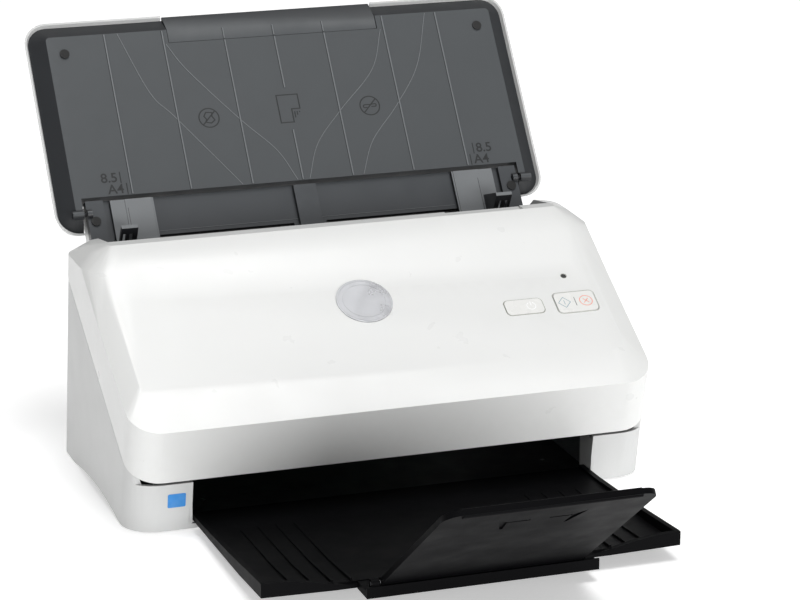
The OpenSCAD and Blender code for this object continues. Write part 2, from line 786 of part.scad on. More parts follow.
module tray_extension() color([0.3, 0.31, 0.33]) on_tray() {
  translate([0, 0, -8]) round_plate(extension_plate_half, 10, extension_grip + 4, 4, 2.4);
  across(-extension_half, 2 * extension_half) polygon([
    [extension_grip, -8], [extension_grip, -gap], [tray_len - tray_bevel, -gap],
    [tray_len - 0.4, -6.4], [tray_len - 0.4, -8]
  ]);
}

module tray_hinge_pins() color("silver") on_tray() {
  both_sides() translate([0, tray_axis_up, 0]) rod(block_outer - 3.3, 11, tray_pin_r);
}

module output_tray() color([0.14, 0.14, 0.15]) {
  front = -out_reach;
  lip_half = 63;
  difference() {
    union() {
      // floor
      across(-out_half + 2, 2 * out_half - 4) polygon([
        [out_rear_y, 5.2], [out_rear_y, out_floor_z], [-90, 8.6], [front + 2, 11],
        [front + 2, 8.4], [-90, 6.6]
      ]);
      // side rims
      both_sides() across(out_half - 3, 3) polygon([
        [out_rear_y, 5.2], [out_rear_y, 8.8], [-20, 9.2], [-75, 12.2], [front + 2, 16.3],
        [front, 16], [front, 8.6], [-90, 6.6]
      ]);
      // front lip, high at the ends and low in the middle
      both_sides() translate([0, front, 0]) rotate([90, 0, 0]) translate([0, 0, -3])
        linear_extrude(3) polygon([
          [0, 8], [0, 9.6], [68, 10], [78, 11.6], [89, 14], [102, 15.8], [out_half, 16.2],
          [out_half, 8.6], [75, 7.8]
        ]);
      // thicker middle of the lip
      translate([-lip_half, front - 13.6, 6.6]) cube([2 * lip_half, 15.6, 4]);
      translate([-lip_half, front - 13.6, 6.6]) cube([2 * lip_half, 1.1, 6]);
      // knuckles of the flap
      both_sides() {
        translate([0, flap_axis_y, flap_axis_z]) rod(flap_half + 0.6, 4.5, 2.4);
        translate([flap_half + 0.6, flap_axis_y - 2.4, 10]) cube([4.5, 4.8, flap_axis_z - 10]);
      }
      // ribs that carry the paper
      for (x = [66, 76, 86, 96], s = [-1, 1]) across(s * x - 0.6, 1.2) polygon([
        [-30, 7.2], [-30, 8.3], [-90, 9.6], [front + 3, 12.4], [front + 3, 9]
      ]);
    }
    translate([0, flap_axis_y, flap_axis_z]) rod(-70, 140, flap_pin_r);
  }
}

// The frame of the open flap: +Y runs to its free edge
module on_flap() {
  translate([0, flap_axis_y, flap_axis_z]) rotate([180 - flap_tilt, 0, 0]) children();
}

module output_flap() color([0.17, 0.17, 0.18]) on_flap() difference() {
  union() {
    translate([0, 0, -1.5]) hull() {
      for (s = [-1, 1]) translate([s * (flap_half - 9), flap_len - 9])
        cylinder(r = 9, h = 3, $fn = corner_fn);
      translate([-flap_half, 2, 0]) cube([2 * flap_half, 1, 3]);
    }
    rod(-flap_half, 2 * flap_half, 2.2);
    translate([0, flap_len - 2.4, 0]) rod(9 - flap_half, 2 * flap_half - 18, 2.4);
  }
  rod(-70, 140, flap_pin_r + running);
  // bracket shaped grooves
  both_sides() {
    translate([5, 95, 0.6]) cube([13, 1.4, 3]);
    translate([16, 84, 0.6]) linear_extrude(3) polygon([[0, 0], [1.4, 0], [7.4, 18], [1, 12]]);
  }
}

module flap_pins() color("silver") {
  translate([0, flap_axis_y, flap_axis_z]) rod(-flap_half - 5, 2 * flap_half + 10, flap_pin_r);
}

module main_board() color("seagreen") {
  translate([-100, 140, 8]) cube([170, 1.6, 62]);
  for (x = [-40, 0, 36]) translate([x, 137.6, 30]) cube([16, 2.4, 16]);
  // strip that reaches the side plates
  translate([0.1 - plate_at, 140, 10]) cube([2 * plate_at - 0.2, 1.6, 8]);
}

module usb_port() color("gray") difference() {
  translate([-95.4, 141.7, 16.6]) cube([12.8, 11, 11.8]);
  translate([-94.2, 143, 17.8]) cube([10.4, 12, 9.4]);
}

module power_inlet() color("black") difference() {
  union() {
    translate([-62, 152.6, 22]) rotate([90, 0, 0]) cylinder(r = 5.2, h = 10.9, $fn = round_fn);
    translate([-67.5, 141.7, 16.5]) cube([11, 7, 11]);
  }
  difference() {
    translate([-62, 153, 22]) rotate([90, 0, 0]) cylinder(r = 2.75, h = 9.5, $fn = round_fn);
    translate([-62, 153, 22]) rotate([90, 0, 0]) cylinder(r = 0.8, h = 12, $fn = round_fn);
  }
}

module shell_screws() color("silver") {
  for (x = [-100, 100], y = [30, 130]) translate([x, y, 0]) {
    translate([0, 0, 1.4]) cylinder(r = 3, h = 1.6, $fn = round_fn);
    translate([0, 0, 2.8]) cylinder(r = 1.5, h = 1.8, $fn = round_fn);
  }
}

base_shell();
rear_cover();
chute_back();
bottom_plate();
rubber_feet();
left_side_plate();
right_side_plate();
lower_guide();
paper_chute();
chute_bumpers();
left_guide();
right_guide();
guide_pinion();
pick_shaft();
pick_rollers();
feed_shaft();
feed_rollers();
exit_shaft();
exit_rollers();
pick_gear();
feed_gear();
exit_gear();
upper_idler_gear();
lower_idler_gear();
motor();
motor_pinion();
lower_scan_bar();
lower_scan_glass();
upper_scan_bar();
upper_scan_glass();
front_cover();
cover_inner_frame();
separation_roller();
separation_shaft();
feed_pinch_rollers();
exit_pinch_rollers();
cover_hinge_pins();
cover_latch();
latch_spring();
power_key();
scan_cancel_key();
key_pivot();
status_lamp();
key_board();
round_badge();
input_tray_shell();
input_tray_panel();
tray_bumpers();
tray_extension();
tray_hinge_pins();
output_tray();
output_flap();
flap_pins();
main_board();
usb_port();
power_inlet();
sensor_lever();
shell_screws();
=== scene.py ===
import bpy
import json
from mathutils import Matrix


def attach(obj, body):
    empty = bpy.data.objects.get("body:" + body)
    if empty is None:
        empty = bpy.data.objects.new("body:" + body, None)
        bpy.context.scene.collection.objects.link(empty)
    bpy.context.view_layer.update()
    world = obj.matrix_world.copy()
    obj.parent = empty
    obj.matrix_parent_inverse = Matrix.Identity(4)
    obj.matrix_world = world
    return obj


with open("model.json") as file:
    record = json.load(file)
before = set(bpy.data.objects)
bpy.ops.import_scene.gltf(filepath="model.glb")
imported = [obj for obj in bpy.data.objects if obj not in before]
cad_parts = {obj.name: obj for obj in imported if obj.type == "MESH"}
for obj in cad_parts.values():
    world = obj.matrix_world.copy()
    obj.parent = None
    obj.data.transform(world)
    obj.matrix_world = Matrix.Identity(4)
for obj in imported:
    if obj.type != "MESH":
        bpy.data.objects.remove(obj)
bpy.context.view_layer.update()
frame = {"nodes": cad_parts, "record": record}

import json
import math

import bmesh
import bpy
from mathutils import Matrix, Vector

MM = 0.001
NODES = frame["nodes"]
SLOTS = {s["node"]: s["material_slot"] for s in frame["record"]["subparts"]}


# ---------------------------------------------------------------- planes of the object

def plane(y, z, tilt):
    """A plane in mm that leans back by tilt degrees.
    Its X is the frame's X, its Y runs up it and its Z points out of it."""
    turn = Matrix.Rotation(math.radians(tilt), 4, "X")
    return Matrix.Translation((0, y * MM, z * MM)) @ turn @ Matrix.Scale(MM, 4)


FACE = plane(96.6, 131.2, 30.8)      # the main face, from its upper edge
TRAY = plane(160.4, 145.4, 53.1)     # the panel of the open input tray, from its lower edge
FRONT_LEAN = math.degrees(math.atan(0.2))
FRONT = plane(-1.7, 0, 90 + FRONT_LEAN)  # the front wall, from its foot line

GRIP_UP = 93.6                       # where the grip of the tray extension starts
GRIP_HALF = 64.2


# ---------------------------------------------------------------- materials

def link(tree, a, b):
    tree.links.new(a, b)


def new_node(tree, kind, **values):
    n = tree.nodes.new(kind)
    for key, value in values.items():
        if key in n.inputs:
            n.inputs[key].default_value = value
        else:
            setattr(n, key, value)
    return n


def noise(tree, coords, size_mm, detail=3.0, stretch=(1, 1, 1)):
    """Noise whose features are about size_mm across."""
    mapping = new_node(tree, "ShaderNodeMapping")
    mapping.inputs["Scale"].default_value = stretch
    link(tree, coords, mapping.inputs["Vector"])
    n = new_node(tree, "ShaderNodeTexNoise", Scale=1 / (size_mm * MM), Detail=detail)
    link(tree, mapping.outputs["Vector"], n.inputs["Vector"])
    return n.outputs["Fac"]


def spread(tree, value, low, high, from_low=0.3, from_high=0.7):
    r = new_node(tree, "ShaderNodeMapRange")
    for i, v in zip(("From Min", "From Max", "To Min", "To Max"), (from_low, from_high, low, high)):
        r.inputs[i].default_value = v
    link(tree, value, r.inputs["Value"])
    return r.outputs["Result"]


def mix(tree, factor, a, b):
    m = new_node(tree, "ShaderNodeMix", data_type="RGBA")
    for socket, v in ((m.inputs["Factor"], factor), (m.inputs["A"], a), (m.inputs["B"], b)):
        if isinstance(v, (float, int, tuple)):
            socket.default_value = v
        else:
            link(tree, v, socket)
    return m.outputs["Result"]


def rgba(c):
    return (*c, 1.0) if len(c) == 3 else tuple(c)


def scaled(c, k):
    return tuple(min(1.0, v * k) for v in c)


def surface(name, base, rough=0.45, rough_var=0.06, grain=0.5, grain_depth=0.01, wave=0, wave_depth=0.02,
            mottle=0.03, mottle_size=40, wear=0.12, wear_to=None, metallic=0.0, coat=0.0, coat_rough=0.15,
            stretch=(1, 1, 1), specular=0.5, shade_away=None):
    """A procedural material with broad colour change, uneven gloss, grain and worn edges. Sizes are in mm.
    The last argument, a direction in the object's own space and a darker colour, paints that colour as shade
    on the faces that turn away from the direction."""
    m = bpy.data.materials.new(name)
    m.use_nodes = True
    tree = m.node_tree
    shader = tree.nodes["Principled BSDF"]
    coords = new_node(tree, "ShaderNodeTexCoord").outputs["Object"]
    broad = noise(tree, coords, mottle_size, 4)
    dark, light = (rgba(scaled(base, k)) for k in (1 - mottle, 1 + mottle))
    colour = mix(tree, spread(tree, broad, 0, 1), dark, light)
    speck = noise(tree, coords, grain * 3, 2, stretch)
    colour = mix(tree, spread(tree, speck, 0, 1.6 * mottle), colour, rgba(scaled(base, 0.8)))
    if wear:
        edge = new_node(tree, "ShaderNodeNewGeometry").outputs["Pointiness"]
        patch = noise(tree, coords, 6, 3)
        worn = new_node(tree, "ShaderNodeMath", operation="MULTIPLY")
        link(tree, spread(tree, edge, 0, wear, 0.52, 0.6), worn.inputs[0])
        link(tree, spread(tree, patch, 0.2, 1, 0.35, 0.65), worn.inputs[1])
        colour = mix(tree, worn.outputs[0], colour, rgba(wear_to or scaled(base, 1.6)))
    # Painted shade: faces that turn away from the given direction take the given darker colour.
    if shade_away:
        facing = new_node(tree, "ShaderNodeVectorMath", operation="DOT_PRODUCT")
        link(tree, new_node(tree, "ShaderNodeTexCoord").outputs["Normal"], facing.inputs[0])
        facing.inputs[1].default_value = shade_away[0]
        colour = mix(tree, spread(tree, facing.outputs["Value"], 0, 1, 0.86, 0.97), rgba(shade_away[1]), colour)
    link(tree, colour, shader.inputs["Base Color"])
    gloss = noise(tree, coords, 18, 4)
    link(tree, spread(tree, gloss, rough - rough_var, rough + rough_var), shader.inputs["Roughness"])
    bump = new_node(tree, "ShaderNodeBump", Strength=1.0, Distance=grain_depth * MM)
    link(tree, noise(tree, coords, grain, 2, stretch), bump.inputs["Height"])
    normal = bump.outputs["Normal"]
    if wave:
        second = new_node(tree, "ShaderNodeBump", Strength=1.0, Distance=wave_depth * MM)
        link(tree, noise(tree, coords, wave, 1), second.inputs["Height"])
        link(tree, normal, second.inputs["Normal"])
        normal = second.outputs["Normal"]
    link(tree, normal, shader.inputs["Normal"])
    shader.inputs["Metallic"].default_value = metallic
    shader.inputs["Specular IOR Level"].default_value = specular
    shader.inputs["Coat Weight"].default_value = coat
    shader.inputs["Coat Roughness"].default_value = coat_rough
    return m


def board_surface():
    """Solder mask with copper tracks under it."""
    m = surface("circuit_board", (0.02, 0.13, 0.06), rough=0.35, grain=0.8, grain_depth=0.01, wear=0)
    tree = m.node_tree
    shader = tree.nodes["Principled BSDF"]
    coords = new_node(tree, "ShaderNodeTexCoord").outputs["Object"]
    cells = new_node(tree, "ShaderNodeTexBrick", Scale=110.0)
    link(tree, coords, cells.inputs["Vector"])
    before = shader.inputs["Base Color"].links[0].from_socket
    link(tree, mix(tree, cells.outputs["Fac"], before, (0.05, 0.26, 0.12, 1)), shader.inputs["Base Color"])
    return m


def glass_surface():
    m = surface("scan_glass_clear", (0.75, 0.86, 0.85), rough=0.04, rough_var=0.02, grain=3,
                grain_depth=0.001, wear=0)
    m.node_tree.nodes["Principled BSDF"].inputs["Transmission Weight"].default_value = 0.9
    return m


WHITE = (0.615, 0.62, 0.615)
DULL_WHITE = (0.57, 0.567, 0.55)
# PANEL_OUT points out of the dark panels. The panel, chute, guide and rib materials paint a near-black colour
# as shade on the faces that turn away from it, such as the bevel round the panel.
PANEL_OUT = (0, -0.79968, 0.60042)
MATERIALS = {
    "white_plastic": surface("shell_white", WHITE, rough=0.42, rough_var=0.05, grain=0.45,
                             grain_depth=0.004, wave=9, wave_depth=0.004, mottle=0.008, mottle_size=60,
                             wear=0.08, wear_to=DULL_WHITE),
    "face_plastic": surface("cover_white", (0.765, 0.77, 0.76), rough=0.32, rough_var=0.05, grain=0.5,
                            grain_depth=0.0015, wave=12, wave_depth=0.004, mottle=0.006, mottle_size=70,
                            wear=0.08, wear_to=DULL_WHITE, coat=0.2, coat_rough=0.12),
    "key_plastic": surface("key_white", (0.79, 0.79, 0.77), rough=0.28, rough_var=0.04, grain=0.5,
                           grain_depth=0.002, wave=5, wave_depth=0.003, mottle=0.008, mottle_size=20,
                           wear=0.08, wear_to=DULL_WHITE),
    "panel_plastic": surface("panel_grey", (0.058, 0.064, 0.069), rough=0.5, rough_var=0.05, grain=0.35,
                             grain_depth=0.006, wave=14, wave_depth=0.004, mottle=0.025, mottle_size=35,
                             wear=0.08, wear_to=(0.16, 0.17, 0.18),
                             shade_away=(PANEL_OUT, (0.017, 0.019, 0.022))),
    "chute_plastic": surface("chute_grey", (0.050, 0.055, 0.061), rough=0.42, rough_var=0.06, grain=0.4,
                             grain_depth=0.005, wave=12, wave_depth=0.005, mottle=0.03, mottle_size=30,
                             wear=0.1, wear_to=(0.18, 0.19, 0.2), shade_away=(PANEL_OUT, (0.020, 0.021, 0.024))),
    "tray_plastic": surface("tray_black", (0.003, 0.003, 0.0035), rough=0.5, rough_var=0.06, grain=0.4,
                            grain_depth=0.006, wave=10, wave_depth=0.004, mottle=0.05, mottle_size=30,
                            wear=0.06, wear_to=(0.015, 0.015, 0.017), specular=0.04),
    "inner_plastic": surface("inner_black", (0.010, 0.010, 0.011), rough=0.5, rough_var=0.08, grain=0.5,
                             grain_depth=0.01, wave=0, wave_depth=0, mottle=0.08, mottle_size=25,
                             wear=0.3, wear_to=(0.05, 0.05, 0.05)),
    "rubber": surface("rubber_black", (0.013, 0.013, 0.013), rough=0.72, rough_var=0.08, grain=0.3,
                      grain_depth=0.02, wave=0, wave_depth=0, mottle=0.15, mottle_size=6, wear=0.4,
                      wear_to=(0.06, 0.06, 0.06)),
    "roller_rubber": surface("roller_grey", (0.055, 0.055, 0.062), rough=0.7, rough_var=0.08, grain=0.25,
                             grain_depth=0.02, wave=0, wave_depth=0, mottle=0.12, mottle_size=8, wear=0.4,
                             wear_to=(0.16, 0.16, 0.17), stretch=(0.25, 1, 1)),
    "steel": surface("ground_steel", (0.56, 0.56, 0.57), rough=0.28, rough_var=0.08, grain=0.25,
                     grain_depth=0.006, wave=0, wave_depth=0, mottle=0.06, mottle_size=12, wear=0.3,
                     wear_to=(0.8, 0.8, 0.8), metallic=1.0, stretch=(6, 1, 1)),
    "spring_steel": surface("spring_steel", (0.45, 0.45, 0.46), rough=0.3, rough_var=0.08, grain=0.2,
                            grain_depth=0.004, wave=0, wave_depth=0, mottle=0.08, mottle_size=6, wear=0.2,
                            metallic=1.0),
    "gear_plastic": surface("gear_cream", (0.70, 0.68, 0.61), rough=0.45, rough_var=0.07, grain=0.5,
                            grain_depth=0.006, wave=0, wave_depth=0, mottle=0.04, mottle_size=10,
                            wear=0.15, wear_to=(0.4, 0.38, 0.34)),
    "brass": surface("cut_brass", (0.72, 0.52, 0.25), rough=0.3, rough_var=0.1, grain=0.25,
                     grain_depth=0.006, wave=0, wave_depth=0, mottle=0.06, mottle_size=5, wear=0.25,
                     metallic=1.0),
    "glass": glass_surface(),
    "board": board_surface(),
    "motor_case": surface("zinc_case", (0.42, 0.43, 0.45), rough=0.38, rough_var=0.1, grain=0.6,
                          grain_depth=0.008, wave=0, wave_depth=0, mottle=0.12, mottle_size=9, wear=0.3,
                          metallic=0.9),
    "badge": surface("badge_grey", (0.40, 0.405, 0.42), rough=0.3, rough_var=0.05, grain=0.3,
                     grain_depth=0.006, wave=0, wave_depth=0, mottle=0.04, mottle_size=9, wear=0,
                     metallic=0.7, stretch=(0.2, 3, 3)),
    "chassis_steel": surface("pressed_steel", (0.30, 0.31, 0.33), rough=0.42, rough_var=0.1, grain=0.7,
                             grain_depth=0.012, wave=0, wave_depth=0, mottle=0.1, mottle_size=20,
                             wear=0.3, metallic=0.8),
}
PRINT_DARK = surface("mark_dark", (0.012, 0.013, 0.014), rough=0.5, rough_var=0.05, grain=0.3,
                     grain_depth=0.004, wear=0)
PRINT_WHITE = surface("mark_white", (0.92, 0.92, 0.92), rough=0.4, rough_var=0.05, grain=0.3,
                      grain_depth=0.003, wear=0, mottle=0.01)
PRINT_BLUE = surface("mark_blue_grey", (0.22, 0.34, 0.40), rough=0.45, rough_var=0.05, grain=0.3,
                     grain_depth=0.003, wear=0, mottle=0.03)
PRINT_BAR = surface("mark_bar_grey", (0.17, 0.17, 0.17), rough=0.45, rough_var=0.05, grain=0.3,
                    grain_depth=0.003, wear=0, mottle=0.03)
PRINT_RED = surface("mark_salmon", (0.80, 0.27, 0.19), rough=0.45, rough_var=0.05, grain=0.3,
                    grain_depth=0.003, wear=0, mottle=0.03)
LABEL_BLUE = surface("label_blue", (0.022, 0.245, 0.66), rough=0.36, rough_var=0.06, grain=0.6,
                     grain_depth=0.004, wear=0.2, mottle=0.05, mottle_size=5, wear_to=(0.5, 0.6, 0.75))
# Grey colour painted as the shade in the gaps round the keys and the lamp.
GAP_SHADE = surface("key_gap_painted_shade", (0.33, 0.34, 0.29), rough=0.6, rough_var=0.05, grain=0.3,
                 grain_depth=0.004, wear=0)
# Dark colour painted as the shadow in the seam along each paper guide.
SEAM_SHADE = surface("seam_shadow", (0.05, 0.05, 0.052), rough=0.7, rough_var=0.05, grain=0.4,
               grain_depth=0.004, wear=0)
GUIDE = surface("guide_grey", (0.18, 0.19, 0.198), rough=0.42, rough_var=0.06, grain=0.4,
                grain_depth=0.005, wave=12, wave_depth=0.004, mottle=0.03, mottle_size=30, wear=0.08,
                wear_to=(0.26, 0.27, 0.28), shade_away=(PANEL_OUT, (0.018, 0.019, 0.022)))
# Near-black pin steel: painted shade, so the tray hinge pins sink into the shaded gap between the tray leg
# and its block.
PIN_SHADE_STEEL = surface("pin_steel_painted_shade", (0.02, 0.02, 0.022), rough=0.45, rough_var=0.08, grain=0.25,
                    grain_depth=0.006, wave=0, wave_depth=0, mottle=0.06, mottle_size=12, wear=0.2,
                    wear_to=(0.1, 0.1, 0.1), metallic=0.6, stretch=(6, 1, 1), specular=0.2)
# Rib colour: lighter than the panel as a painted highlight along the raised ridges, with painted shade on the
# faces that turn away from the panel.
RIB_HIGHLIGHT = surface("rib_painted_highlight", (0.150, 0.160, 0.168), rough=0.46, rough_var=0.05, grain=0.3, grain_depth=0.003,
              wear=0, mottle=0.01, shade_away=(PANEL_OUT, (0.022, 0.024, 0.027)))

# Width of the rounded edge of each slot's parts, in mm
EDGE = {"white_plastic": 0.7, "face_plastic": 0.9, "panel_plastic": 0.5, "chute_plastic": 0.3,
        "tray_plastic": 0.6, "key_plastic": 0.3, "rubber": 0.5, "roller_rubber": 0.35,
        "gear_plastic": 0.12, "brass": 0.1, "glass": 0.1}
OTHER_EDGE = 0.2
WELD_GAP = 0.00001                   # m
SHARP_EDGE = 32                      # degrees from which an edge is rounded
CREASE_EDGE = 19                     # the same, on the slots in CREASED

# Slots whose flat faces meet at shallow creases
CREASED = ("face_plastic", "white_plastic")
# Materials set per node; the near-black of the tray hinge pins is painted shade.
NODE_MATERIALS = {"left_guide": GUIDE, "right_guide": GUIDE, "tray_hinge_pins": PIN_SHADE_STEEL}


def rounded(o, width_mm, angle):
    """Rounds the edges of an object that turn by more than angle and evens out its shading."""
    weld = o.modifiers.new("weld", "WELD")
    weld.merge_threshold = WELD_GAP
    bevel = o.modifiers.new("edges", "BEVEL")
    bevel.width = width_mm * MM
    bevel.segments = 3
    bevel.limit_method = "ANGLE"
    bevel.angle_limit = math.radians(angle)
    bevel.miter_outer = "MITER_ARC"
    even = o.modifiers.new("even", "WEIGHTED_NORMAL")
    even.weight = 60
    even.keep_sharp = False


for name, o in NODES.items():
    o.data.materials.clear()
    o.data.materials.append(NODE_MATERIALS.get(name, MATERIALS[SLOTS[name]]))
    if "custom_normal" in o.data.attributes:
        o.data.attributes.remove(o.data.attributes["custom_normal"])
    for p in o.data.polygons:
        p.use_smooth = True
    rounded(o, EDGE.get(SLOTS[name], OTHER_EDGE), CREASE_EDGE if SLOTS[name] in CREASED else SHARP_EDGE)


# ---------------------------------------------------------------- pieces drawn as strokes

def smooth(points, steps=8):
    """A Catmull-Rom curve through the points."""
    p = [Vector(q) for q in points]
    p = [2 * p[0] - p[1], *p, 2 * p[-1] - p[-2]]
    out = []
    for i in range(1, len(p) - 2):
        for k in range(steps):
            t = k / steps
            out.append(0.5 * (2 * p[i] + (p[i + 1] - p[i - 1]) * t
                              + (2 * p[i - 1] - 5 * p[i] + 4 * p[i + 1] - p[i + 2]) * t ** 2
                              + (3 * p[i] - p[i - 1] - 3 * p[i + 1] + p[i + 2]) * t ** 3))
    return [tuple(v) for v in [*out, p[-2]]]


def arc(centre, r, start=0, end=360, steps=40):
    angles = [math.radians(start + (end - start) * k / steps) for k in range(steps + 1)]
    return [(centre[0] + r * math.cos(a), centre[1] + r * math.sin(a)) for a in angles]


def stroke(bm, points, width, low, high):
    """Adds one raised line with sloped flanks along points."""
    p = [Vector(q) for q in points]
    closed = (p[0] - p[-1]).length < 1e-6
    if closed:
        p = p[:-1]
    n = len(p)
    rings = []
    for i, q in enumerate(p):
        back = p[i - 1] if i or closed else None
        ahead = p[(i + 1) % n] if i < n - 1 or closed else None
        both = ((q - back) if back else None, (ahead - q) if ahead else None)
        directions = [d.normalized() for d in both if d]
        along = sum(directions, Vector((0, 0))).normalized()
        side = Vector((-along.y, along.x)) / max(0.5, along.dot(directions[0]))
        rings.append([bm.verts.new((*(q + side * s * width / 2), z))
                      for s, z in ((-1, low), (-0.55, high), (0.55, high), (1, low))])
    for i in range(n if closed else n - 1):
        a, b = rings[i], rings[(i + 1) % n]
        for k in range(4):
            j = (k + 1) % 4
            bm.faces.new((a[k], a[j], b[j], b[k]))
    if not closed:
        bm.faces.new(rings[0][::-1])
        bm.faces.new(rings[-1])


def mesh_piece(name, bm, where, body, material):
    bmesh.ops.recalc_face_normals(bm, faces=bm.faces)
    mesh = bpy.data.meshes.new(name)
    bm.to_mesh(mesh)
    bm.free()
    mesh.transform(where)
    mesh.materials.append(material)
    o = bpy.data.objects.new(name, mesh)
    bpy.context.scene.collection.objects.link(o)
    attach(o, body)
    return o


def lines(name, strokes, width, height, where, body, material, low=-0.05):
    """One piece made of raised lines, in mm on the plane where."""
    bm = bmesh.new()
    for points in strokes:
        stroke(bm, points, width, low, height)
    return mesh_piece(name, bm, where, body, material)


def mirrored(strokes):
    return [[(-x, y) for x, y in points] for points in strokes]


# ---------------------------------------------------------------- input tray

RIBS = (-102.3, -67.5, -30.5, 30.8, 68.5, 102.5)
RIB_TOP = 101.4
ON_GRIP = [x for x in RIBS if abs(x) < GRIP_HALF]
RIB_GAP = 0.5
ribs = [[(x, 0.4), (x, GRIP_UP - RIB_GAP if x in ON_GRIP else RIB_TOP)] for x in RIBS]
ribs += [[(0, 0.4), (0, 32.2)], [(0, 59.4), (0, GRIP_UP - RIB_GAP)]]
# The ribs, grip ribs and waves take the rib colour, a painted highlight.
lines("tray_ribs", ribs, 1.5, 0.32, TRAY, "input_tray", RIB_HIGHLIGHT)
grip_ribs = [[(x, GRIP_UP + RIB_GAP), (x, RIB_TOP - 0.6)] for x in (*ON_GRIP, 0)]
lines("grip_ribs", grip_ribs, 1.2, 0.1, TRAY, "extension", RIB_HIGHLIGHT, low=-0.4)
waves = [smooth([(-94.4, 101.4), (-81.3, 62.3), (-68.7, 45.3), (-36.7, 0.5)]),
         smooth([(-66.4, 92.8), (-56.7, 75.2), (-30.8, 41.5), (-12.3, 20.1), (-3.3, 0.5)]),
         smooth([(4.1, 0.8), (13.3, 22.4), (31.5, 42.6), (55.9, 67.1), (66.3, 92.8)]),
         smooth([(37.2, 0.5), (47.2, 21.5), (66.6, 43), (84.4, 67.6), (96.1, 101.4)])]
lines("tray_waves", waves, 0.9, 0.14, TRAY, "input_tray", RIB_HIGHLIGHT)

CRUMPLE, CLIP, ICON_R = (-49.1, 43.8), (49.7, 43.7), 6.0
sheet_icon = [(-6.3, 54.7), (6.7, 54.7), (6.7, 45.5), (1.6, 45.5), (1.6, 37), (-6.3, 37), (-6.3, 54.7)]
icons = [arc(CRUMPLE, ICON_R), arc(CLIP, ICON_R), sheet_icon,
         *[[(1.6 + 1.5 * k, 43.8), (1.6 + 1.5 * k, 38.2 + 1.6 * k)] for k in (1, 2, 3)],
         [(CRUMPLE[0] - 4.1, CRUMPLE[1] - 4.2), (CRUMPLE[0] + 4.1, CRUMPLE[1] + 4.2)],
         [(CRUMPLE[0] + dx, CRUMPLE[1] + dy) for dx, dy in
          ((-2.9, 1.2), (-1.4, 3.6), (2.2, 3.2), (1.9, 0.9), (3.3, -1.6), (0.9, -3.4), (-2.2, -2.6),
           (-1.7, -0.6), (-2.9, 1.2))],
         [(CLIP[0] - 4.1, CLIP[1] - 4.2), (CLIP[0] + 4.1, CLIP[1] + 4.2)],
         smooth([(CLIP[0] + dx, CLIP[1] + dy) for dx, dy in
                 ((-1.6, -0.9), (-3.6, -1.1), (-3.6, 0.6), (0.2, 0.7), (3.6, 0.9), (3.6, -0.6),
                  (0.8, -0.6))], 5)]
lines("tray_pictograms", icons, 0.95, 0.06, TRAY, "input_tray", PRINT_DARK)
# Paper widths: where the bar stands, how far up, and where the lettering starts
MARKS = {"8.5": (107.95, 11, 109.6), "A4": (105, 3.8, 106.9)}
size_bars = [[(x, up - 3.4), (x, up + 3.6)] for x, up, _ in MARKS.values()]
size_bars += mirrored(size_bars)
lines("size_bars", size_bars, 0.8, 0.06, TRAY, "input_tray", PRINT_DARK)


def size_mark(text, side):
    """A size mark beside its bar, as a thin raised print."""
    _, up, start = MARKS[text]
    name = "size_mark_" + ("right_" if side > 0 else "left_") + text.replace(".", "_")
    curve = bpy.data.curves.new("size_mark", "FONT")
    curve.body = text
    curve.size = 8.2
    curve.extrude = 0.05
    curve.offset = 0.12
    curve.align_y = "CENTER"
    curve.align_x = "LEFT" if side > 0 else "RIGHT"
    o = bpy.data.objects.new(name, curve)
    bpy.context.scene.collection.objects.link(o)
    bpy.context.view_layer.update()
    mesh = bpy.data.meshes.new_from_object(o)
    bpy.data.objects.remove(o)
    mesh.transform(TRAY @ Matrix.Translation((side * start, up, 0.02)))
    mesh.materials.clear()
    mesh.materials.append(PRINT_DARK)
    piece = bpy.data.objects.new(name, mesh)
    bpy.context.scene.collection.objects.link(piece)
    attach(piece, "input_tray")


for mark in MARKS:
    for side in (-1, 1):
        size_mark(mark, side)

# ---------------------------------------------------------------- keys, lamp and label

KEYS_DOWN = 71.4
POWER = (94.1, -KEYS_DOWN)
START = (114.2, -KEYS_DOWN)
STOP = (127.2, -KEYS_DOWN)
KEY_TOP = 0.35
lines("power_icon", [arc(POWER, 2.6, 118, 422, 30), [(POWER[0], POWER[1] + 0.2), (POWER[0], POWER[1] + 3.2)]],
      0.8, KEY_TOP + 0.05, FACE, "power_key", PRINT_WHITE, KEY_TOP - 0.05)
lines("start_icon", [[(START[0] - 3.6, START[1]), (START[0], START[1] + 3.9), (START[0] + 3.6, START[1]),
                      (START[0], START[1] - 3.9), (START[0] - 3.6, START[1])],
                     [(START[0], START[1] - 1.5), (START[0], START[1] + 1.5)]],
      0.45, KEY_TOP + 0.05, FACE, "scan_key", PRINT_BLUE, KEY_TOP - 0.05)
lines("between_icons", [[(120.8, POWER[1] - 3.2), (120.8, POWER[1] + 3.3)]],
      0.55, KEY_TOP + 0.05, FACE, "scan_key", PRINT_BAR, KEY_TOP - 0.05)
lines("stop_icon", [arc(STOP, 3.7), [(STOP[0] - 1.5, STOP[1] - 1.5), (STOP[0] + 1.5, STOP[1] + 1.5)],
                    [(STOP[0] - 1.5, STOP[1] + 1.5), (STOP[0] + 1.5, STOP[1] - 1.5)]],
      0.6, KEY_TOP + 0.05, FACE, "scan_key", PRINT_RED, KEY_TOP - 0.05)


def slab_path(half_w, half_h, r, at, steps=8):
    """The outline of a rounded rectangle around a point."""
    out = []
    for k, (sx, sy) in enumerate(((1, 1), (-1, 1), (-1, -1), (1, -1))):
        corner = (at[0] + sx * (half_w - r), at[1] + sy * (half_h - r))
        out += arc(corner, r, 90 * k, 90 * k + 90, steps)
    return [*out, out[0]]


